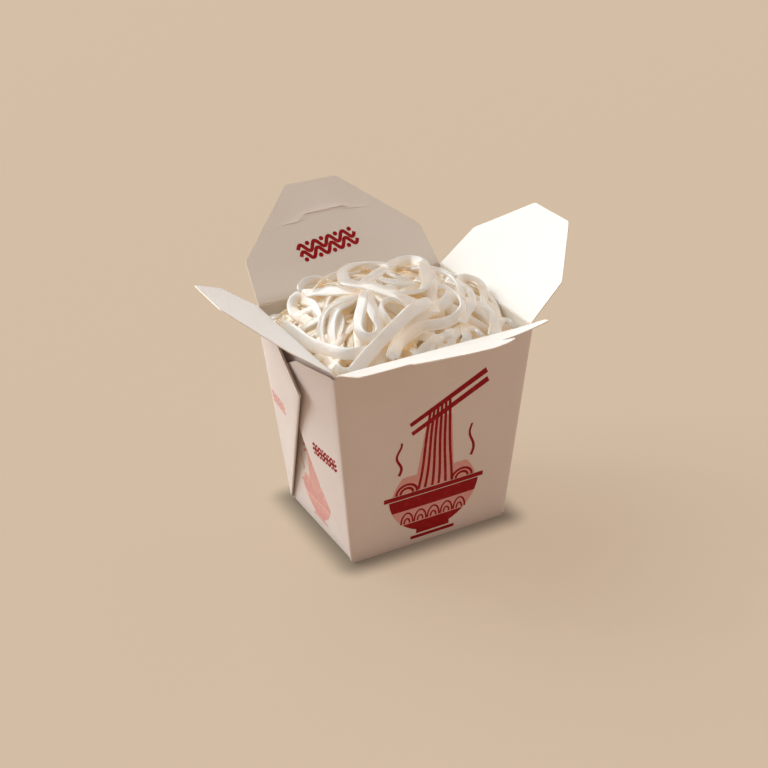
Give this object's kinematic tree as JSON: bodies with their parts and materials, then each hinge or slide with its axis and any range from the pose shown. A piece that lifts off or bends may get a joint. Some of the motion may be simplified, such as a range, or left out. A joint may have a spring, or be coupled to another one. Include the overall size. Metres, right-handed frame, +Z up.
{
  "type": "noodle takeaway box",
  "caption": "Folded paperboard takeaway pail with four open top flaps, heaped with flat rice noodles.",
  "frame": {"origin": "middle of the pail's underside, on the surface it stands on", "axes": "+Z up; -Y is the front wall with the large print; +X and -X are the walls with the folded corner webs"},
  "size_m": [0.1798, 0.1634, 0.1466],
  "materials": {
    "board": "matte, smooth, coated inside",
    "print": "matte ink on board",
    "noodle": "wet, glossy, slightly see-through"
  },
  "bodies": {
    "pail": {"pail": "board", "noodles": "noodle"},
    "flap_back": {"flap_back": "board"},
    "flap_left": {"flap_left": "board"},
    "flap_front": {"flap_front": "board"},
    "flap_right": {"flap_right": "board"}
  },
  "joints": [
    {"name": "back_crease", "type": "hinge", "parent": "pail", "child": "flap_back", "pos_m": [0, 0.0423, 0.106], "axis": [1, 0, 0], "range_deg": [-119, 46]},
    {"name": "left_crease", "type": "hinge", "parent": "pail", "child": "flap_left", "pos_m": [-0.0508, 0, 0.106], "axis": [0, 1, 0], "range_deg": [-87, 53]},
    {"name": "front_crease", "type": "hinge", "parent": "pail", "child": "flap_front", "pos_m": [0, -0.0423, 0.106], "axis": [-1, 0, 0], "range_deg": [-97, 68]},
    {"name": "right_crease", "type": "hinge", "parent": "pail", "child": "flap_right", "pos_m": [0.0508, 0, 0.106], "axis": [0, -1, 0], "range_deg": [-91, 49]}
  ]
}
